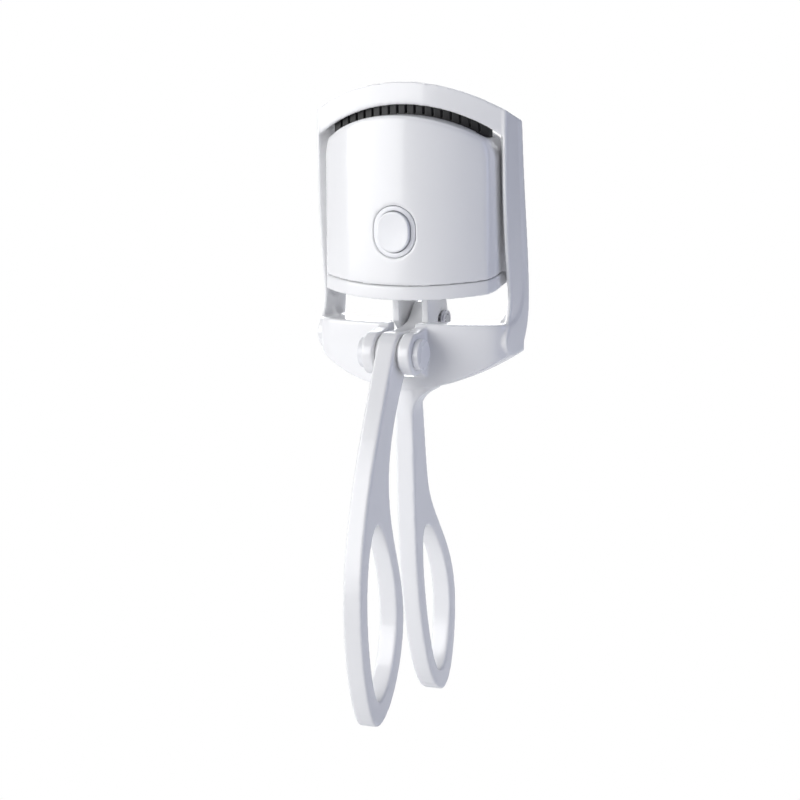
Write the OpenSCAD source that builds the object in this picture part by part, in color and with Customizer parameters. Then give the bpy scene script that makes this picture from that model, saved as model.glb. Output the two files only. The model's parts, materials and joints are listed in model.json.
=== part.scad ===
// Heated eyelash curler: a hand-held clamp with a powered comb carriage that slides up to a top bar.
// Origin: centre of the fixed (rear) finger loop. X is across, -Y is the front, +Z is up.

/* [Frame] */
// overall width of the frame
frame_w = 38.6; // [34:0.2:44]
// thickness of the side posts at the rear
post_t = 1.9; // [1.6:0.1:3]
// height of the frame's top above the hinge axis
frame_top = 50; // [46:0.5:56]
// radius of the arched top seen from the front
arch_r = 37; // [30:1:60]
// height of the top bar's face
bar_h = 4.3; // [3.5:0.1:6]
// radius of the top bar's front seen from above
bar_plan_r = 61.2; // [50:0.2:90]

/* [Carriage] */
// width of the heater body
body_w = 34.4; // [30:0.2:35]
// height of the body's bottom above the hinge axis at the front, handles at rest
body_bottom = 9.7; // [9:0.1:12]
// height of the body's top above the hinge axis at the middle, handles at rest
body_top = 43.9; // [40:0.1:46]
// radius of the body's front seen from above
body_front_r = 27.2; // [24:0.2:40]
// wall thickness of the housing
wall = 1.4; // [1.1:0.1:2]
// height of the base cap
base_h = 2.7; // [2:0.1:4]
// number of comb segments
comb_segments = 18; // [12:1:24]

/* [Handles] */
// thickness of both handles
handle_t = 3.8; // [3:0.1:5]
// radius of the hinge bosses
boss_r = 4; // [3.5:0.1:5]
// radius of the hinge pin
pin_r = 1.5; // [1.2:0.1:2]
// distance from the hinge to the link pin, front to back
lever_y = 14.4; // [13.6:0.1:15]
// height of the link pin above the hinge at rest
lever_z = 5; // [4:0.1:6]

/* [Hidden] */
$fn = 96;
hinge_y = -15.2;
hinge_z = 49.5;
half_w = frame_w / 2;
post_x = half_w - post_t;
run_gap = 0.06;
fit_gap = 0.2;
slide_gap = 0.3;
seam_gap = 0.12;
ear_in = 2.5;
ear_t = 2.4;
ear_out = ear_in + ear_t;
yoke_top = 5.2;
yoke_low = -7.2;
yoke_front = 3.7;
yoke_back = 8.2;
yoke_back_r = 27;
yoke_arch_r = 32;
rear_y = 15.2;
bar_front = 5.2;
bar_low = frame_top - bar_h;
arch_low_r = arch_r - bar_h;
top_tilt = 16;
top_r = 46;
comb_y = 6.4;
comb_t = 1.6;
comb_r = 60;
comb_half = 15.8;
comb_h = bar_low - body_top + 0.35;
groove_depth = 2.7;
pad_t = 0.5;
half_b = body_w / 2;
body_front = 0.4;
body_back = 14.6;
split_y = body_back - wall;
bevel_x = 1.3;
front_bevel = 2.3;
rear_bevel = 3;
fillet_r = 1.5;
body_tilt = 11.3;
boss_wall = 0.9;
screw_x = 12;
screw_z = 19.2;
base_screw_y = 9;
notch_low = -4.8;
pocket_low = -2.6;
rim_t = 0.3;
yoke_half = half_w + rim_t;
comb_foot = 15;
seam_z = body_bottom + base_h;
round_over = 0.6;
plan_round_y = 12.7;
shoulder_z = 31.5;
rib_h = 0.8;
rib_w = 1.6;
rib_y = 12;
lug_in = handle_t / 2 + 0.4;
lug_t = 1.4;
lug_out = lug_in + lug_t;
link_r = 1;
link_slot = 1.8;
link_gap = 0.16;
button_z = 22.5;
button_r = 3.2;
button_long = 0.6;
dish_r = 60;
ring_w = 1;
head_r = 2.9;
head_t = 1.3;
board_y = 5.6;
white = [0.95, 0.95, 0.96];
soft_white = [0.9, 0.9, 0.93];
black = [0.16, 0.16, 0.17];
steel = [0.75, 0.76, 0.78];

// one cubic curve through p0 and p3, shaped by p1 and p2
function curve(p0, p1, p2, p3, n = 14) = [for (i = [0 : n - 1]) let (t = i / n, s = 1 - t)
  s * s * s * p0 + 3 * s * s * t * p1 + 3 * s * t * t * p2 + t * t * t * p3];

// places a piece described about the hinge axis into the part's own frame
module from_hinge() {
  translate([0, hinge_y, hinge_z]) children();
}

// extrudes a side outline given as [y, z] across X, centred on x
module side_slab(x, t) {
  translate([x - t / 2, 0, 0]) rotate([90, 0, 90]) linear_extrude(t) children();
}

// extrudes a front outline given as [x, z] from y0 to y1
module front_slab(y0, y1) {
  translate([0, y1, 0]) rotate([90, 0, 0]) linear_extrude(y1 - y0) children();
}

// cylinder along X from x0 to x1
module rod_x(x0, x1, r, y = 0, z = 0) {
  translate([x0, y, z]) rotate([0, 90, 0]) cylinder(r = r, h = x1 - x0);
}

// cylinder along Y from y0 to y1
module rod_y(y0, y1, r, x = 0, z = 0) {
  translate([x, y1, z]) rotate([90, 0, 0]) cylinder(r = r, h = y1 - y0, $fn = 180);
}

module box(lo, hi) {
  translate(lo) cube(hi - lo);
}

// upright band between two plan radii that share one front-to-back centre
module plan_band(front, r_out, t, z0, z1) {
  translate([0, front + r_out, z0]) difference() {
    cylinder(r = r_out, h = z1 - z0, $fn = 180);
    translate([0, 0, -1]) cylinder(r = r_out - t, h = z1 - z0 + 2, $fn = 180);
  }
}

// ---- frame ----
module post_outline() {
  polygon(concat(
    curve([8.2, 49], [7.9, 40], [7.6, 28], [9.8, 14]),
    curve([9.8, 14], [10.9, 9], [10.4, 7], [8.4, 4]),
    curve([8.4, 4], [7.0, 2.2], [7.6, -1], [12, -1]),
    curve([12, -1], [16.2, -1], [18.6, 3.4], [19, 8]),
    curve([19, 8], [19.3, 16], [17, 26], [16, 38]),
    curve([16, 38], [15.7, 42], [rear_y, 45], [rear_y, 49]),
    [[rear_y, 49]]
  ));
}

// outside limit of the arched top, sloping down toward the back
module top_limit() {
  translate([0, bar_front, frame_top - top_r / cos(top_tilt)]) rotate([-top_tilt, 0, 0])
    rod_y(-90, 90, top_r);
}

// the inner part of a post, sheared so that its inner face draws back by depth
module post_bevel(s, depth) {
  bevel_end = post_x + bevel_x;
  slope = depth / bevel_x;
  multmatrix([[1, 0, 0, 0], [-s * slope, 1, 0, slope * bevel_end], [0, 0, 1, 0], [0, 0, 0, 1]])
    side_slab(s * (post_x + bevel_end) / 2, bevel_x + 0.02) post_outline();
}

// one post, its inner side bevelled at the front and more deeply at the back
module post(s) {
  bevel_end = post_x + bevel_x;
  side_slab(s * (bevel_end + half_w) / 2, half_w - bevel_end) post_outline();
  intersection() {
    side_slab(s * (post_x + bevel_end) / 2, bevel_x + 0.02) post_outline();
    post_bevel(s, front_bevel);
    post_bevel(s, -rear_bevel);
  }
}

module posts() {
  intersection() {
    for (s = [-1, 1]) post(s);
    union() {
      top_limit();
      box([-half_w, 0, -20], [half_w, 30, 20]);
    }
  }
}

// rounded inner corners where the posts meet the yoke
module corner_fillets() {
  x0 = post_x - fillet_r;
  for (s = [-1, 1]) difference() {
    box([s > 0 ? x0 : -post_x - 0.2, 11.2, yoke_top - 0.1],
      [s > 0 ? post_x + 0.2 : -x0, 14, yoke_top + fillet_r]);
    rod_y(0, 40, fillet_r, s * x0, yoke_top + fillet_r);
  }
}

module top_bar() {
  intersection() {
    top_limit();
    difference() {
      translate([0, bar_front + bar_plan_r, 30]) cylinder(r = bar_plan_r, h = 30, $fn = 180);
      rod_y(-90, 90, arch_low_r, 0, frame_top - arch_r);
    }
    box([-half_w, 0, 36], [half_w, rear_y, 60]);
  }
}

module bar_groove() {
  intersection() {
    plan_band(comb_y - slide_gap, comb_r + slide_gap, comb_t + 2 * slide_gap, 30, 60);
    difference() {
      rod_y(-5, 40, arch_low_r + groove_depth, 0, frame_top - arch_r);
      rod_y(-6, 41, arch_low_r - 3, 0, frame_top - arch_r);
    }
    box([-post_x, 0, 36], [post_x, 20, 60]);
  }
}

// plan of the yoke: a shallow front curve that turns round each corner into the sides
module yoke_plan() {
  right = concat(
    curve([0, yoke_front], [5.4, yoke_front], [11.4, 4.5], [15.8, 6.1]),
    curve([15.8, 6.1], [18.2, 7.0], [yoke_half, 8.4], [yoke_half, 11.6]),
    [[yoke_half, 18]]
  );
  polygon(concat(right, [for (i = [len(right) - 1 : -1 : 1]) [-right[i][0], right[i][1]]]));
}

module yoke() {
  intersection() {
    difference() {
      translate([0, 0, -20]) linear_extrude(20 + yoke_top) yoke_plan();
      translate([0, yoke_back + yoke_back_r, -21]) cylinder(r = yoke_back_r, h = 60, $fn = 180);
    }
    rod_y(-10, 40, yoke_arch_r, 0, yoke_low + yoke_arch_r);
  }
}

module ears() {
  for (s = [-1, 1]) side_slab(s * (ear_in + ear_t / 2), ear_t) union() {
    circle(r = boss_r);
    polygon([[0.4, boss_r - 0.2], [6.4, yoke_top - 0.1], [6.4, -6.2], [1.4, -3.4]]);
  }
}

module rear_handle_outline() {
  difference() {
    polygon(concat(
      curve([4.2, -5.2], [4.6, -14], [4.6, -26], [5.4, -36]),
      curve([5.4, -36], [6.2, -47], [9.6, -66], [17.4, -68.0]),
      curve([17.4, -68.0], [22.4, -69.0], [24.4, -58], [24.3, -51.5]),
      curve([24.3, -51.5], [24.0, -39], [13.6, -34], [11.6, -26]),
      curve([11.6, -26], [10.4, -21], [9.8, -12], [8.4, -5.2]),
      [[8.4, -5.2]]
    ));
    rear_loop_outline();
  }
}

// concave blend from the yoke's underside down into the rear handle's sides
module handle_flare() {
  right = concat(curve([handle_t / 2, -12.4], [handle_t / 2, -9.8], [3.3, -7.9], [6.6, -6.9]), [[6.6, -5.2]]);
  front_slab(4.5, 8.2)
    polygon(concat(right, [for (i = [len(right) - 1 : -1 : 0]) [-right[i][0], right[i][1]]]));
}

module rear_loop_outline() {
  polygon(concat(
    curve([10.9, -34.4], [14.2, -34.4], [21.5, -43], [21.4, -52]),
    curve([21.4, -52], [21.3, -59], [19.4, -64], [16.8, -64]),
    curve([16.8, -64], [13.2, -64], [9.1, -47], [9.0, -39]),
    curve([9.0, -39], [8.9, -36.4], [9.4, -34.4], [10.9, -34.4])
  ));
}

module frame() {
  color(white) from_hinge() difference() {
    union() {
      posts();
      corner_fillets();
      difference() {
        top_bar();
        bar_groove();
      }
      yoke();
      post_rims();
      ears();
      side_slab(0, handle_t) rear_handle_outline();
      handle_flare();
    }
    lever_notch();
    post_grooves();
    rod_x(-20, 20, pin_r + 0.02);
  }
}

// raised rims that carry the yoke's upper edge up the rear of each post
module post_rims() {
  intersection() {
    for (s = [-1, 1]) side_slab(s * (half_w - 0.2 + rim_t / 2), 0.4 + rim_t) difference() {
      post_outline();
      polygon(concat(
        curve([6, yoke_top - 0.4], [13, yoke_top - 0.4], [16.4, 6], [16.8, 14]),
        curve([16.8, 14], [16.2, 25], [14.4, 36], [14.1, 52]),
        [[0, 52], [0, yoke_top - 0.4]]
      ));
    }
    top_limit();
  }
}

// guide grooves for the carriage ribs, cut in the inner faces of the posts
module post_grooves() {
  groove = rib_h + fit_gap;
  for (s = [-1, 1]) box([s > 0 ? post_x - 0.5 : -post_x - groove, rib_y - rib_w / 2 - slide_gap, 9],
    [s > 0 ? post_x + groove : -post_x + 0.5, rib_y + rib_w / 2 + slide_gap, 37]);
}

// opening in the yoke for the lever and, behind it, for the carriage lugs
module lever_notch() {
  box([-ear_in, 0, notch_low], [ear_in, yoke_back + 4, 12]);
  rod_x(-ear_in, ear_in, boss_r + 0.4);
  box([-lug_out - slide_gap, 6.2, pocket_low], [lug_out + slide_gap, 18, 12]);
  box([-lug_out - 1.5, 9, pocket_low + 1.4], [lug_out + 1.5, 19, 12]);
}

module clamp_pad() {
  color([0.86, 0.86, 0.88]) from_hinge() intersection() {
    plan_band(comb_y - slide_gap + 0.1, comb_r + slide_gap - 0.1, comb_t + 2 * slide_gap - 0.2, 30, 60);
    difference() {
      rod_y(-5, 40, arch_low_r + groove_depth, 0, frame_top - arch_r);
      rod_y(-6, 41, arch_low_r + groove_depth - pad_t, 0, frame_top - arch_r);
    }
    box([-post_x + 0.1, 0, 36], [post_x - 0.1, 20, 60]);
  }
}

// ---- front handle ----
module front_outline() {
  difference() {
    polygon(concat(
      curve([-3.6, 1.7], [-10.9, -13], [-19.2, -29], [-19.2, -45]),
      curve([-19.2, -45], [-19.2, -55], [-15.8, -68.2], [-11.8, -68.2]),
      curve([-11.8, -68.2], [-7, -68.2], [-0.3, -59], [-0.3, -49.5]),
      curve([-0.3, -49.5], [-0.3, -40], [-6.3, -34], [-6.3, -23.5]),
      curve([-6.3, -23.5], [-6.3, -16], [-1.8, -8], [1.5, -3.7]),
      curve([1.5, -3.7], [5, -3.4], [9.8, -0.6], [13.2, 1.9]),
      curve([13.2, 1.9], [16.4, 1.8], [18.2, 4.6], [17.2, 6.8]),
      curve([17.2, 6.8], [16, 8.8], [13.2, 8.8], [11.8, 6.4]),
      curve([11.8, 6.4], [9.8, 3.4], [3.4, 4], [0, 4]),
      curve([0, 4], [-1.6, 4], [-3, 3.2], [-3.6, 1.7])
    ));
    front_loop_outline();
    translate([lever_y, lever_z]) circle(r = link_r + 0.03);
  }
}

module front_loop_outline() {
  polygon(concat(
    curve([-11.4, -30.4], [-9, -30.4], [-3.4, -40], [-3.4, -49]),
    curve([-3.4, -49], [-3.4, -57], [-8.4, -63.5], [-11.2, -63.5]),
    curve([-11.2, -63.5], [-13.6, -63.5], [-16.1, -54], [-16.1, -45]),
    curve([-16.1, -45], [-16.1, -36], [-13.6, -30.4], [-11.4, -30.4])
  ));
}

module front_handle() {
  color(white) from_hinge() difference() {
    side_slab(0, handle_t) front_outline();
    rod_x(-10, 10, pin_r + run_gap);
  }
}

module hinge_pin() {
  color(soft_white) from_hinge() {
    rod_x(-ear_out, ear_out + 0.5, pin_r);
    rod_x(-ear_out - head_t, -ear_out, head_r);
  }
}

module hinge_cap() {
  color(soft_white) from_hinge() difference() {
    rod_x(ear_out, ear_out + head_t, head_r);
    rod_x(ear_out - 1, ear_out + 0.5, pin_r);
  }
}

module hinge_washers() {
  color([0.85, 0.85, 0.86]) from_hinge() for (s = [-1, 1]) difference() {
    rod_x(s * (handle_t / 2 + 0.3) - 0.2, s * (handle_t / 2 + 0.3) + 0.2, 3.2);
    rod_x(-10, 10, pin_r + run_gap);
  }
}

// ---- carriage ----
// plan outline of the body with its walls moved inward
module body_plan(inset) {
  intersection() {
    translate([0, body_front + body_front_r]) circle(r = body_front_r - inset, $fn = 180);
    translate([-half_b + inset, 0]) square([body_w - 2 * inset, body_back - inset]);
    translate([0, plan_round_y]) circle(r = half_b + round_over - inset, $fn = 180);
  }
}

// everything under the body's sloping bottom plane, which rises toward the back
module under_slope(z) {
  translate([0, 0, z]) rotate([body_tilt, 0, 0]) box([-40, -40, -60], [40, 80, 0]);
}

// front outline of the body with its walls moved inward
module body_face(inset) {
  intersection() {
    translate([0, frame_top - arch_r]) circle(r = body_top - frame_top + arch_r - inset, $fn = 180);
    translate([-half_b + inset, 0]) square([body_w - 2 * inset, 60]);
    union() {
      translate([0, shoulder_z]) circle(r = half_b + round_over - inset, $fn = 180);
      translate([-half_b, 0]) square([body_w, shoulder_z]);
    }
  }
}

module body_solid(inset) {
  intersection() {
    translate([0, 0, 5]) linear_extrude(60) body_plan(inset);
    front_slab(-5, 30) body_face(inset);
    translate([0, 6.2, frame_top - arch_r]) rotate([-34, 0, 0])
      rod_y(-60, 60, body_top - frame_top + arch_r - 0.3 - inset);
  }
}

module comb_slot() {
  intersection() {
    plan_band(comb_y - 0.05, comb_r + 0.05, comb_t + 0.1, 30, 60);
    box([-comb_foot - 0.05, 0, 30], [comb_foot + 0.05, 20, 60]);
  }
}

module button_outline(r, y0, y1) {
  front_slab(y0, y1) translate([0, button_z]) {
    for (s = [-1, 1]) translate([0, s * button_long]) circle(r = r, $fn = 64);
    square([2 * r, 2 * button_long], center = true);
  }
}

module housing_front() {
  color(white) from_hinge() difference() {
    union() {
      difference() {
        body_solid(0);
        body_solid(wall);
      }
      guide_ribs();
      intersection() {
        body_solid(0.5);
        union() {
          for (s = [-1, 1]) rod_y(3, split_y, 0.8 + boss_wall, s * screw_x, screw_z);
          for (s = [-1, 1]) base_screw_boss(s);
        }
      }
    }
    under_slope(seam_z);
    box([-30, split_y, 0], [30, 40, 60]);
    comb_slot();
    button_outline(button_r + ring_w + 0.05, -5, 5);
    for (s = [-1, 1]) rod_y(7, 16, 0.8, s * screw_x, screw_z);
    for (s = [-1, 1]) at_base_screw(s) translate([0, 0, -1]) cylinder(r = 0.8, h = 8);
  }
}

module guide_ribs() {
  for (s = [-1, 1]) box([s > 0 ? half_b - 0.6 : -half_b - rib_h, rib_y - rib_w / 2, seam_z],
    [s > 0 ? half_b + rib_h : -half_b + 0.6, rib_y + rib_w / 2, 34]);
}

// runs from the base cap's underside along its sloping normal
module at_base_screw(s) {
  translate([s * screw_x, 0, body_bottom]) rotate([body_tilt, 0, 0]) translate([0, base_screw_y, 0]) children();
}

module base_screw_boss(s) {
  at_base_screw(s) {
    cylinder(r = 0.8 + boss_wall, h = 7);
    box([s > 0 ? 0 : -6, -0.6, 0], [s > 0 ? 6 : 0, 0.6, 7]);
  }
}

module housing_back() {
  color(white) from_hinge() difference() {
    body_solid(0);
    under_slope(seam_z);
    box([-30, -5, 0], [30, split_y + 0.03, 60]);
    comb_slot();
    front_slab(12, 16) socket_outline(0.15);
    for (s = [-1, 1]) rod_y(12, 16, 1.05, s * screw_x, screw_z);
  }
}

module socket_outline(gap) {
  translate([0, 18]) {
    for (s = [-1, 1]) translate([s * 2.9, 0]) circle(r = 1.6 + gap, $fn = 48);
    square([5.8, 3.2 + 2 * gap], center = true);
  }
}

module base_cap() {
  color(white) from_hinge() difference() {
    union() {
      difference() {
        intersection() {
          translate([0, 0, 5]) linear_extrude(20) body_plan(0);
          under_slope(seam_z - seam_gap);
        }
        under_slope(body_bottom);
      }
      for (s = [-1, 1]) side_slab(s * (lug_in + lug_t / 2), lug_t) lug_outline();
    }
    for (s = [-1, 1]) at_base_screw(s) translate([0, 0, -1]) {
      cylinder(r = 1.05, h = 8);
      cylinder(r = 1.9, h = 2.05);
    }
  }
}

module lug_outline() {
  difference() {
    union() {
      polygon([[7.4, body_bottom + 2.2], [7.8, lever_z], [9.8, lever_z - 1.9], [lever_y, lever_z - 1.9],
        [lever_y + 3, lever_z], [lever_y + 2, 8.6], [13.3, body_bottom + 3.4]]);
      for (s = [-1, 1]) translate([lever_y + 0.1 + s * 0.6, lever_z]) circle(r = 2.4);
      translate([lever_y - 0.5, lever_z - 2.4]) square([1.2, 4]);
    }
    for (s = [-1, 1]) translate([lever_y + 0.1 + s * link_slot / 2, lever_z]) circle(r = link_r + link_gap);
    translate([lever_y + 0.1 - link_slot / 2, lever_z - link_r - link_gap])
      square([link_slot, 2 * (link_r + link_gap)]);
  }
}

module link_pin() {
  color(steel) from_hinge() rod_x(-lug_out - 1.1, lug_out + 1.1, link_r, lever_y, lever_z);
}

module link_clips() {
  color([0.8, 0.8, 0.83]) from_hinge() for (s = [-1, 1]) difference() {
    rod_x(s * (lug_out + 0.6) - 0.35, s * (lug_out + 0.6) + 0.35, 1.7, lever_y, lever_z);
    rod_x(-10, 10, link_r, lever_y, lever_z);
  }
}

module power_button() {
  color(white) from_hinge() {
    difference() {
      button_outline(button_r, -0.15, 2.2);
      translate([0, -dish_r - 0.05, button_z]) sphere(r = dish_r, $fn = 128);
    }
    rod_y(2.2, 2.8, 1.4, 0, button_z);
  }
}

module button_ring() {
  color([0.92, 0.92, 0.94]) from_hinge() difference() {
    intersection() {
      button_outline(button_r + ring_w, -1, 2.0);
      translate([0, body_front + body_front_r, 0]) cylinder(r = body_front_r - 0.02, h = 40, $fn = 180);
    }
    button_outline(button_r + 0.12, -5, 6);
  }
}

module comb_arc(r0, r1) {
  difference() {
    rod_y(-5, 40, r1, 0, frame_top - arch_r);
    rod_y(-6, 41, r0, 0, frame_top - arch_r);
  }
}

module comb() {
  foot_r = body_top - frame_top + arch_r - 2.2;
  tooth_r = foot_r + 2.2 + comb_h;
  color(black) from_hinge() intersection() {
    difference() {
      plan_band(comb_y, comb_r, comb_t, 30, 60);
      comb_gaps(foot_r + 2.35);
    }
    union() {
      intersection() {
        comb_arc(foot_r, tooth_r);
        box([-comb_foot, 0, 30], [comb_foot, 20, 60]);
      }
      intersection() {
        comb_arc(foot_r + 2.25, tooth_r);
        box([-comb_half, 0, 30], [comb_half, 20, 60]);
      }
    }
  }
}

// slits that part the comb's upper edge into separate segments
module comb_gaps(r) {
  pitch = 2 * comb_half / comb_segments;
  for (i = [1 : comb_segments - 1]) translate([-comb_half + i * pitch - 0.2, -2, 30])
    intersection() {
      cube([0.4, 20, 30]);
      translate([comb_half - i * pitch + 0.2, 2, -30]) comb_arc(r, 60);
    }
}

module comb_carrier() {
  r1 = body_top - frame_top + arch_r - wall - 0.9;
  color([0.78, 0.76, 0.7]) from_hinge() difference() {
    intersection() {
      plan_band(comb_y - 1.6, comb_r + 1.6, comb_t + 3.2, 30, 60);
      comb_arc(r1 - 3.4, r1);
      box([-14.8, 0, 30], [14.8, 20, 60]);
    }
    intersection() {
      plan_band(comb_y - 0.05, comb_r + 0.05, comb_t + 0.1, 30, 60);
      comb_arc(r1 - 1.6, r1 + 4);
    }
  }
}

module heater_plate() {
  r0 = body_top - frame_top + arch_r - wall - 0.9 - 3.4 - 0.6;
  color([0.82, 0.66, 0.4]) from_hinge() intersection() {
    plan_band(comb_y - 1.2, comb_r + 1.2, comb_t + 2.4, 25, 60);
    comb_arc(r0, r0 + 0.5);
    box([-14, 0, 25], [14, 20, 60]);
  }
}

module heater_film() {
  r0 = body_top - frame_top + arch_r - wall - 0.9 - 3.4 - 0.9;
  color([0.72, 0.42, 0.12]) from_hinge() intersection() {
    plan_band(comb_y - 1, comb_r + 1, comb_t + 2, 25, 60);
    comb_arc(r0, r0 + 0.2);
    box([-13.4, 0, 25], [13.4, 20, 60]);
  }
}

module thermistor() {
  color([0.2, 0.35, 0.3]) from_hinge() {
    translate([0, comb_y + 1, 35.9]) sphere(r = 0.8, $fn = 48);
    for (s = [-1, 1]) translate([s * 0.4, comb_y + 1, 33.4]) cylinder(r = 0.2, h = 2.2, $fn = 24);
  }
}

module insulator() {
  color([0.7, 0.7, 0.72]) from_hinge() box([-12, 7.2, 30.6], [12, 12.6, 31.2]);
}

module battery() {
  color([0.55, 0.62, 0.7]) from_hinge() {
    rod_x(-13, 13, 3.9, 9.2, 26.2);
    rod_x(13, 13.7, 1.4, 9.2, 26.2);
  }
}

module circuit_board() {
  color([0.1, 0.35, 0.2]) from_hinge() difference() {
    box([-9.4, board_y - 1.4, 14.4], [9.4, board_y - 0.6, 29.8]);
    for (s = [-1, 1]) rod_y(0, 10, 0.9, s * 7.4, 28);
  }
}

module tact_switch() {
  color([0.25, 0.25, 0.27]) from_hinge() {
    box([-1.8, 3.55, button_z - 1.5], [1.8, 4.15, button_z + 1.5]);
    rod_y(3.35, 3.6, 0.8, 0, button_z);
  }
}

module status_led() {
  color([0.95, 0.9, 0.7]) from_hinge() box([-0.8, 3.6, button_z + 3.4], [0.8, 4.15, button_z + 4.2]);
}

module charge_socket() {
  color(steel) from_hinge() difference() {
    front_slab(8, 14.5) socket_outline(0);
    front_slab(9, 16) translate([0, 18]) {
      for (s = [-1, 1]) translate([s * 2.9, 0]) circle(r = 1.25, $fn = 48);
      square([5.8, 2.5], center = true);
    }
  }
}

module housing_screws() {
  color(steel) from_hinge() for (s = [-1, 1]) difference() {
    union() {
      rod_y(9, 14.2, 0.8, s * screw_x, screw_z);
      rod_y(13.8, 14.5, 1, s * screw_x, screw_z);
    }
    front_slab(14.1, 15) translate([s * screw_x, screw_z]) circle(r = 0.45, $fn = 6);
  }
}

module base_screws() {
  color(steel) from_hinge() for (s = [-1, 1]) at_base_screw(s) difference() {
    union() {
      translate([0, 0, 0.2]) cylinder(r = 1.7, h = 0.8);
      translate([0, 0, 0.9]) cylinder(r = 0.8, h = 5.1);
    }
    translate([0, 0, -0.1]) cylinder(r = 0.7, h = 0.7, $fn = 6);
  }
}

frame();
clamp_pad();
front_handle();
hinge_pin();
hinge_cap();
hinge_washers();
housing_front();
housing_back();
base_cap();
link_pin();
link_clips();
power_button();
button_ring();
comb();
comb_carrier();
heater_plate();
heater_film();
thermistor();
insulator();
battery();
circuit_board();
tact_switch();
status_led();
charge_socket();
housing_screws();
base_screws();
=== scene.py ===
import json
import math

import bmesh
import bpy
from mathutils import Matrix, Vector


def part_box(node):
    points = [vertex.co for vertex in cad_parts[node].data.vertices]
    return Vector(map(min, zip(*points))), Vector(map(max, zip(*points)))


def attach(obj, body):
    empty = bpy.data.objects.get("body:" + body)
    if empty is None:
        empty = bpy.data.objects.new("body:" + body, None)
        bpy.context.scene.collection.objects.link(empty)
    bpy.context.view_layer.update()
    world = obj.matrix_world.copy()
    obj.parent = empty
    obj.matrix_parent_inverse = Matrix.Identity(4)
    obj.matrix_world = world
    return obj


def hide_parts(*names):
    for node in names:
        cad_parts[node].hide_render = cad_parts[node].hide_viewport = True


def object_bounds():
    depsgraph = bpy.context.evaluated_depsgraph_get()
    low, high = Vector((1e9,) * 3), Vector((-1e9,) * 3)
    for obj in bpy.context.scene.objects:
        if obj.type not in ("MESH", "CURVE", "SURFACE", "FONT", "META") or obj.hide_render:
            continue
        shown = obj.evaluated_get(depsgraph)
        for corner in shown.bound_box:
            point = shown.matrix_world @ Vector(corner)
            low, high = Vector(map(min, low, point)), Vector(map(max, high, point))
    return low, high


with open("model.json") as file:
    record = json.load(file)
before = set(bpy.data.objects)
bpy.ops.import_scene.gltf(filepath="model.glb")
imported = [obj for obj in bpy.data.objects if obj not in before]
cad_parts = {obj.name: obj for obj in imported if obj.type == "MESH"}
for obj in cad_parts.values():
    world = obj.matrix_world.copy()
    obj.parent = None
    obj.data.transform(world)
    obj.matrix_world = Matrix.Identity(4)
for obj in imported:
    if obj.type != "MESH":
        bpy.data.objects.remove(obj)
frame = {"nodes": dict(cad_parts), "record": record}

# Looks for the heated eyelash curler. Metres, in the CAD frame: +Z is up, -Y is the front.

cad_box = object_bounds()
MM = 0.001
RECORD = frame["record"]
BODY_OF = {node: body for body, nodes in RECORD["behaviour"]["bodies"].items() for node in nodes}
SLOT_OF = {part["node"]: part["material_slot"] for part in RECORD["subparts"]}

# ---- materials ----
# A noise texture lies mostly inside these limits, so ranges and ramps start and end there.
NOISE_LIMITS = (0.3, 0.7)
RAMP_STOPS = (0.35, 0.65)
# Noise scales count features per metre. Streaks are long in X and fine across it.
POLISH_SCALE = 90.0
STREAK_SCALE = (300.0, 6000.0, 6000.0)
GRAIN_HEIGHT = 0.02 * MM
STREAK_HEIGHT = 0.01 * MM
SPECKLE_HEIGHT = 0.03 * MM
STREAK_BUMP = 0.1
SPECKLE_BUMP = 0.2
COAT_ROUGHNESS = 0.1
REFRACTION = 1.5


def new_material(name, colour, roughness, metallic=0.0, coat=0.0):
    """A Principled material with its constants on the shader's own sockets."""
    mat = bpy.data.materials.new(name)
    mat.use_nodes = True
    shader = mat.node_tree.nodes["Principled BSDF"]
    shader.inputs["Base Color"].default_value = (*colour, 1.0)
    shader.inputs["Roughness"].default_value = roughness
    shader.inputs["Metallic"].default_value = metallic
    shader.inputs["Coat Weight"].default_value = coat
    shader.inputs["Coat Roughness"].default_value = COAT_ROUGHNESS
    shader.inputs["IOR"].default_value = REFRACTION
    return mat, shader


def add_noise(mat, scale, detail=3.0):
    """Noise in the object's own coordinates."""
    tree = mat.node_tree
    coords = tree.nodes.new("ShaderNodeTexCoord")
    noise = tree.nodes.new("ShaderNodeTexNoise")
    noise.inputs["Scale"].default_value = scale
    noise.inputs["Detail"].default_value = detail
    tree.links.new(coords.outputs["Object"], noise.inputs["Vector"])
    return noise.outputs["Fac"]


def add_streaks(mat):
    """Noise drawn out along X."""
    tree = mat.node_tree
    coords = tree.nodes.new("ShaderNodeTexCoord")
    stretch = tree.nodes.new("ShaderNodeMapping")
    stretch.inputs["Scale"].default_value = STREAK_SCALE
    noise = tree.nodes.new("ShaderNodeTexNoise")
    noise.inputs["Scale"].default_value = 1.0
    tree.links.new(coords.outputs["Object"], stretch.inputs["Vector"])
    tree.links.new(stretch.outputs["Vector"], noise.inputs["Vector"])
    return noise.outputs["Fac"]


def vary_roughness(mat, shader, fac, roughness):
    """Roughness that follows fac from the first value to the second."""
    tree = mat.node_tree
    spread = tree.nodes.new("ShaderNodeMapRange")
    spread.inputs["From Min"].default_value = NOISE_LIMITS[0]
    spread.inputs["From Max"].default_value = NOISE_LIMITS[1]
    spread.inputs["To Min"].default_value = roughness[0]
    spread.inputs["To Max"].default_value = roughness[1]
    tree.links.new(fac, spread.inputs["Value"])
    tree.links.new(spread.outputs["Result"], shader.inputs["Roughness"])


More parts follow.
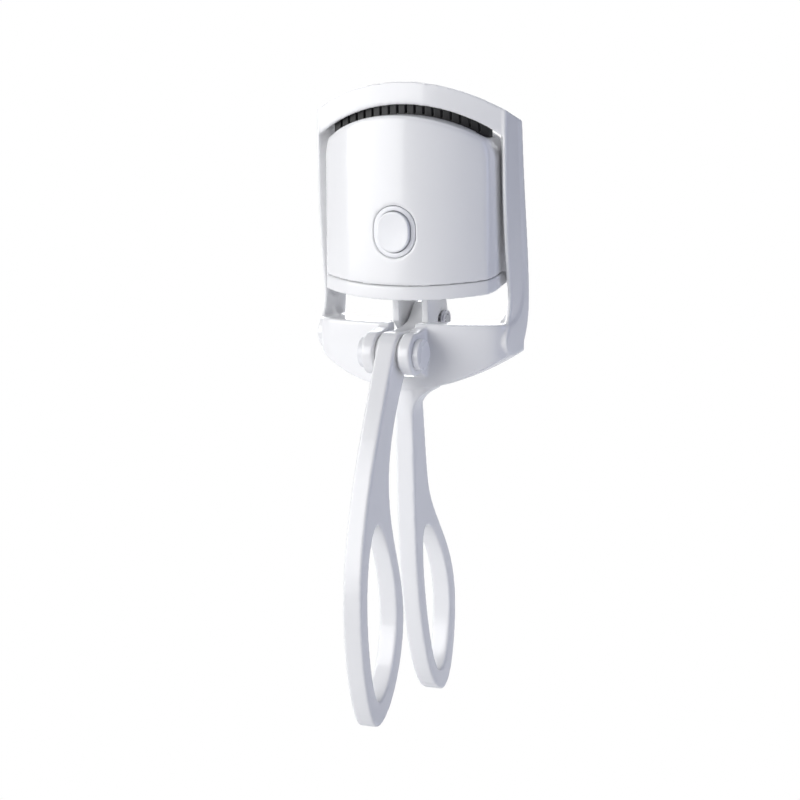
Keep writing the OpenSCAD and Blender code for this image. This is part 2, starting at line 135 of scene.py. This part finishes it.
def vary_colour(mat, shader, fac, colours):
    """Colour that follows fac from the first colour to the second."""
    tree = mat.node_tree
    ramp = tree.nodes.new("ShaderNodeValToRGB")
    for stop, place, colour in zip(ramp.color_ramp.elements, RAMP_STOPS, colours):
        stop.position = place
        stop.color = (*colour, 1.0)
    tree.links.new(fac, ramp.inputs["Fac"])
    tree.links.new(ramp.outputs["Color"], shader.inputs["Base Color"])


def add_bump(mat, shader, fac, strength, height):
    """Fine relief that follows fac."""
    tree = mat.node_tree
    bump = tree.nodes.new("ShaderNodeBump")
    bump.inputs["Strength"].default_value = strength
    bump.inputs["Distance"].default_value = height
    tree.links.new(fac, bump.inputs["Height"])
    tree.links.new(bump.outputs["Normal"], shader.inputs["Normal"])


def moulded_plastic(name, colour, roughness, grain, coat=0.0, bump=0.04):
    """Moulded plastic: broad changes of polish and a fine surface grain."""
    mat, shader = new_material(name, colour, sum(roughness) / 2, coat=coat)
    vary_roughness(mat, shader, add_noise(mat, POLISH_SCALE), roughness)
    add_bump(mat, shader, add_noise(mat, grain, detail=2.0), bump, GRAIN_HEIGHT)
    return mat


def drawn_metal(name, colour, roughness):
    """Metal with fine drawn streaks."""
    mat, shader = new_material(name, colour, sum(roughness) / 2, metallic=1.0)
    streaks = add_streaks(mat)
    vary_roughness(mat, shader, streaks, roughness)
    add_bump(mat, shader, streaks, STREAK_BUMP, STREAK_HEIGHT)
    return mat


def speckled(name, colours, roughness, grain):
    """A matte piece whose colour changes slightly from grain to grain."""
    mat, shader = new_material(name, colours[0], roughness)
    fac = add_noise(mat, grain, detail=4.0)
    vary_colour(mat, shader, fac, colours)
    add_bump(mat, shader, fac, SPECKLE_BUMP, SPECKLE_HEIGHT)
    return mat


# Each look belongs to the material slot of the same name.
PLASTICS = {
    # the white outer pieces
    "white_gloss": dict(colour=(0.87, 0.872, 0.88), roughness=(0.2, 0.27), grain=2500.0, coat=0.35),
    "pin_plastic": dict(colour=(0.84, 0.845, 0.865), roughness=(0.22, 0.3), grain=3000.0, coat=0.25),
    "button_plastic": dict(colour=(0.88, 0.885, 0.9), roughness=(0.2, 0.28), grain=3000.0, coat=0.3),
    "ring_plastic": dict(colour=(0.82, 0.825, 0.85), roughness=(0.18, 0.26), grain=3000.0, coat=0.4),
    # the clamp
    "black_comb": dict(colour=(0.012, 0.012, 0.013), roughness=(0.5, 0.62), grain=5000.0, bump=0.12),
    "pad_silicone": dict(colour=(0.7, 0.7, 0.73), roughness=(0.5, 0.62), grain=5000.0, bump=0.15),
    # the joints
    "washer_plastic": dict(colour=(0.8, 0.8, 0.81), roughness=(0.4, 0.5), grain=4000.0),
    "clip_plastic": dict(colour=(0.66, 0.66, 0.7), roughness=(0.3, 0.42), grain=4000.0),
    # inside the body
    "film_amber": dict(colour=(0.55, 0.26, 0.05), roughness=(0.2, 0.32), grain=2500.0),
    "bead_epoxy": dict(colour=(0.08, 0.16, 0.12), roughness=(0.25, 0.35), grain=3000.0),
    "cell_wrap": dict(colour=(0.3, 0.42, 0.58), roughness=(0.22, 0.34), grain=700.0, bump=0.1),
    "switch_black": dict(colour=(0.06, 0.06, 0.065), roughness=(0.4, 0.5), grain=4000.0),
    "led_lens": dict(colour=(0.85, 0.8, 0.55), roughness=(0.1, 0.18), grain=2000.0, coat=0.3),
}
METALS = {
    "bright_steel": dict(colour=(0.72, 0.73, 0.75), roughness=(0.2, 0.34)),
    "heater_metal": dict(colour=(0.78, 0.6, 0.34), roughness=(0.3, 0.45)),
}
SPECKLED = {
    "carrier_plastic": dict(colours=((0.62, 0.6, 0.54), (0.68, 0.66, 0.6)), roughness=0.6, grain=1500.0),
    "mica_sheet": dict(colours=((0.5, 0.5, 0.53), (0.66, 0.66, 0.68)), roughness=0.5, grain=900.0),
    "board_green": dict(colours=((0.03, 0.2, 0.09), (0.04, 0.24, 0.11)), roughness=0.4, grain=1200.0),
}


def make_materials():
    """One material for each slot of the record."""
    kinds = ((moulded_plastic, PLASTICS), (drawn_metal, METALS), (speckled, SPECKLED))
    return {slot: make(slot, **look) for make, looks in kinds for slot, look in looks.items()}


# ---- shapes ----
WELD_DISTANCE = 0.002 * MM
RELAX_FACTOR = 0.5
ZONE_PASSES = 50


def bake(piece):
    """Applies the piece's modifiers to its mesh."""
    graph = bpy.context.evaluated_depsgraph_get()
    final = bpy.data.meshes.new_from_object(piece.evaluated_get(graph))
    piece.modifiers.clear()
    piece.vertex_groups.clear()
    piece.data = final
    for face in final.polygons:
        face.use_smooth = True


def add_relaxing(piece, passes):
    """Smoothing that rounds the edges a little more with each pass."""
    relax = piece.modifiers.new("relax", "SMOOTH")
    relax.factor = RELAX_FACTOR
    relax.iterations = passes
    return relax


def relax_zone(piece, inside):
    """Extra relaxing where inside(point) says, for edges with a broader rounding."""
    group = piece.vertex_groups.new(name="zone")
    group.add([vertex.index for vertex in piece.data.vertices if inside(vertex.co)], 1.0, "REPLACE")
    add_relaxing(piece, ZONE_PASSES).vertex_group = group.name
    bake(piece)


def welded_mesh(source):
    """A copy of the source's mesh whose doubled vertices are joined."""
    mesh = source.data.copy()
    shape = bmesh.new()
    shape.from_mesh(mesh)
    bmesh.ops.remove_doubles(shape, verts=shape.verts, dist=WELD_DISTANCE)
    shape.to_mesh(mesh)
    shape.free()
    return mesh


def rounded_copy(node, voxel, passes):
    """The node's own shape remeshed and relaxed, so that every moulded edge is softly rounded."""
    source = frame["nodes"][node]
    piece = bpy.data.objects.new(node + "_moulded", welded_mesh(source))
    piece.matrix_world = source.matrix_world.copy()
    bpy.context.scene.collection.objects.link(piece)
    remesh = piece.modifiers.new("remesh", "REMESH")
    remesh.mode = "VOXEL"
    remesh.voxel_size = voxel
    remesh.use_smooth_shade = True
    add_relaxing(piece, passes)
    bake(piece)
    return piece


def soften_housing(piece):
    """The body's front corners and top rim are rounded more broadly than its other edges."""
    low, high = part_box("housing_front")
    corner_width = 4.5 * MM
    corner_depth = 9.0 * MM
    seam_margin = 4.5 * MM
    rim_height = 3.2 * MM
    rim_depth = 4.8 * MM
    arch_radius = 30.9 * MM
    front_radius = 60.0 * MM

    def corners(point):
        beside = abs(point.x) > high[0] - corner_width
        return beside and point.y < low[1] + corner_depth and point.z > low[2] + seam_margin

    def top_rim(point):
        arch = high[2] - point.x ** 2 / (2 * arch_radius)
        front = low[1] + point.x ** 2 / (2 * front_radius)
        return point.z > arch - rim_height and point.y < front + rim_depth

    relax_zone(piece, corners)
    relax_zone(piece, top_rim)


def dress(piece, node, materials):
    """Gives a piece its node's body and the material made for its node's slot."""
    piece.data.materials.clear()
    piece.data.materials.append(materials[SLOT_OF[node]])
    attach(piece, BODY_OF[node])


# The moulded nodes, with the voxel in mm and the relaxing passes that round their edges.
ROUNDED = {
    "frame": (0.24, 9),
    "front_handle": (0.24, 9),
    "housing_front": (0.24, 8),
    "housing_back": (0.2, 4),
    "base_cap": (0.18, 6),
    "hinge_pin": (0.14, 6),
    "hinge_cap": (0.14, 6),
    "power_button": (0.12, 6),
    "button_ring": (0.1, 4),
    "comb": (0.08, 4),
    "clamp_pad": (0.14, 3),
    "link_pin": (0.1, 4),
    "link_clips": (0.08, 3),
}


def make_rounded(materials):
    """Every moulded node is replaced by its rounded copy."""
    for node, (voxel, passes) in ROUNDED.items():
        piece = rounded_copy(node, voxel * MM, passes)
        if node == "housing_front":
            soften_housing(piece)
        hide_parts(node)
        dress(piece, node, materials)


def paint_cad_nodes(materials):
    """The nodes that are shown as the CAD has them take their own slot's material."""
    for node, obj in frame["nodes"].items():
        if node in ROUNDED:
            continue
        obj.data.materials.clear()
        obj.data.materials.append(materials[SLOT_OF[node]])


# ---- stage ----
FLOOR_SIZE = 6.0
FLOOR_GAP = 2 * MM
FLOOR_COLOUR = (0.9, 0.9, 0.91)
FLOOR_NOISE_SCALE = 12.0
FLOOR_ROUGHNESS = (0.75, 0.85)
WORLD_COLOUR = (0.88, 0.9, 1.0, 1.0)
WORLD_STRENGTH = 0.17
WHITE = (1.0, 1.0, 1.0, 1.0)


def split_for_camera(tree, lit, shown, output):
    """Light meets the lit shader, and the camera sees the shown one."""
    path = tree.nodes.new("ShaderNodeLightPath")
    mix = tree.nodes.new("ShaderNodeMixShader")
    tree.links.new(path.outputs["Is Camera Ray"], mix.inputs["Fac"])
    tree.links.new(lit, mix.inputs[1])
    tree.links.new(shown, mix.inputs[2])
    tree.links.new(mix.outputs["Shader"], tree.nodes[output].inputs["Surface"])


def make_floor():
    """A pale floor that bounces light, plain white to the camera."""
    bpy.ops.mesh.primitive_plane_add(size=FLOOR_SIZE, location=(0, 0, cad_box[0][2] - FLOOR_GAP))
    floor = bpy.context.object
    floor.name = "floor"
    mat, shader = new_material("floor_paint", FLOOR_COLOUR, sum(FLOOR_ROUGHNESS) / 2)
    shader.inputs["Specular IOR Level"].default_value = 0.0
    vary_roughness(mat, shader, add_noise(mat, FLOOR_NOISE_SCALE), FLOOR_ROUGHNESS)
    glow = mat.node_tree.nodes.new("ShaderNodeEmission")
    split_for_camera(mat.node_tree, shader.outputs["BSDF"], glow.outputs["Emission"], "Material Output")
    floor.data.materials.append(mat)


def make_world():
    """Soft bluish light all round, and a plain white ground for the camera."""
    world = bpy.data.worlds.new("studio")
    world.use_nodes = True
    tree = world.node_tree
    seen = tree.nodes["Background"]
    seen.inputs["Color"].default_value = WHITE
    seen.inputs["Strength"].default_value = 1.0
    around = tree.nodes.new("ShaderNodeBackground")
    around.inputs["Color"].default_value = WORLD_COLOUR
    around.inputs["Strength"].default_value = WORLD_STRENGTH
    split_for_camera(tree, around.outputs["Background"], seen.outputs["Background"], "World Output")
    bpy.context.scene.world = world


def area_light(name, place, size, watts, colour):
    """A rectangular light that faces the middle of the object."""
    middle = Vector((0.0, 0.0, 40.0 * MM))
    data = bpy.data.lights.new(name, "AREA")
    data.shape = "RECTANGLE"
    data.size, data.size_y = size
    data.energy = watts
    data.color = colour
    lamp = bpy.data.objects.new(name, data)
    lamp.location = place
    lamp.rotation_euler = (middle - Vector(place)).to_track_quat("-Z", "Y").to_euler()
    bpy.context.scene.collection.objects.link(lamp)


def make_lights():
    """A broad key at the front left, a cool fill at the right, and soft lights above and behind."""
    area_light("key", place=(-0.6, -0.65, 0.13), size=(0.9, 0.9), watts=10.1, colour=(1.0, 0.998, 0.995))
    area_light("fill", place=(0.75, -0.06, 0.1), size=(0.3, 0.8), watts=1.8, colour=(0.66, 0.72, 1.0))
    area_light("top", place=(-0.05, 0.15, 0.8), size=(0.6, 0.5), watts=1.4, colour=(0.98, 0.99, 1.0))
    area_light("back", place=(-0.5, 0.75, 0.3), size=(0.7, 0.6), watts=6.0, colour=(0.97, 0.98, 1.0))


def make_camera():
    """Camera at the product picture's angle: front right, a little above."""
    azimuth = math.radians(24.5)
    elevation = math.radians(8.5)
    roll = math.radians(-0.46)
    distance = 0.509
    target = Vector((-5.7, 0.0, 38.3)) * MM
    forward = -Vector((
        math.sin(azimuth) * math.cos(elevation),
        -math.cos(azimuth) * math.cos(elevation),
        math.sin(elevation),
    ))
    level = Vector((math.cos(azimuth), math.sin(azimuth), 0.0))
    upright = level.cross(forward)
    right = level * math.cos(roll) + upright * math.sin(roll)
    up = upright * math.cos(roll) - level * math.sin(roll)
    turn = Matrix((right, up, -forward)).transposed().to_4x4()
    data = bpy.data.cameras.new("camera")
    data.sensor_width = 36.0
    data.lens = 119.2
    data.clip_start = 0.01
    data.clip_end = 20.0
    camera = bpy.data.objects.new("camera", data)
    bpy.context.scene.collection.objects.link(camera)
    camera.matrix_world = Matrix.Translation(target - forward * distance) @ turn
    bpy.context.scene.camera = camera


bpy.context.scene.view_settings.view_transform = "Standard"
MATERIALS = make_materials()
make_rounded(MATERIALS)
paint_cad_nodes(MATERIALS)
make_floor()
make_lights()
make_world()
make_camera()
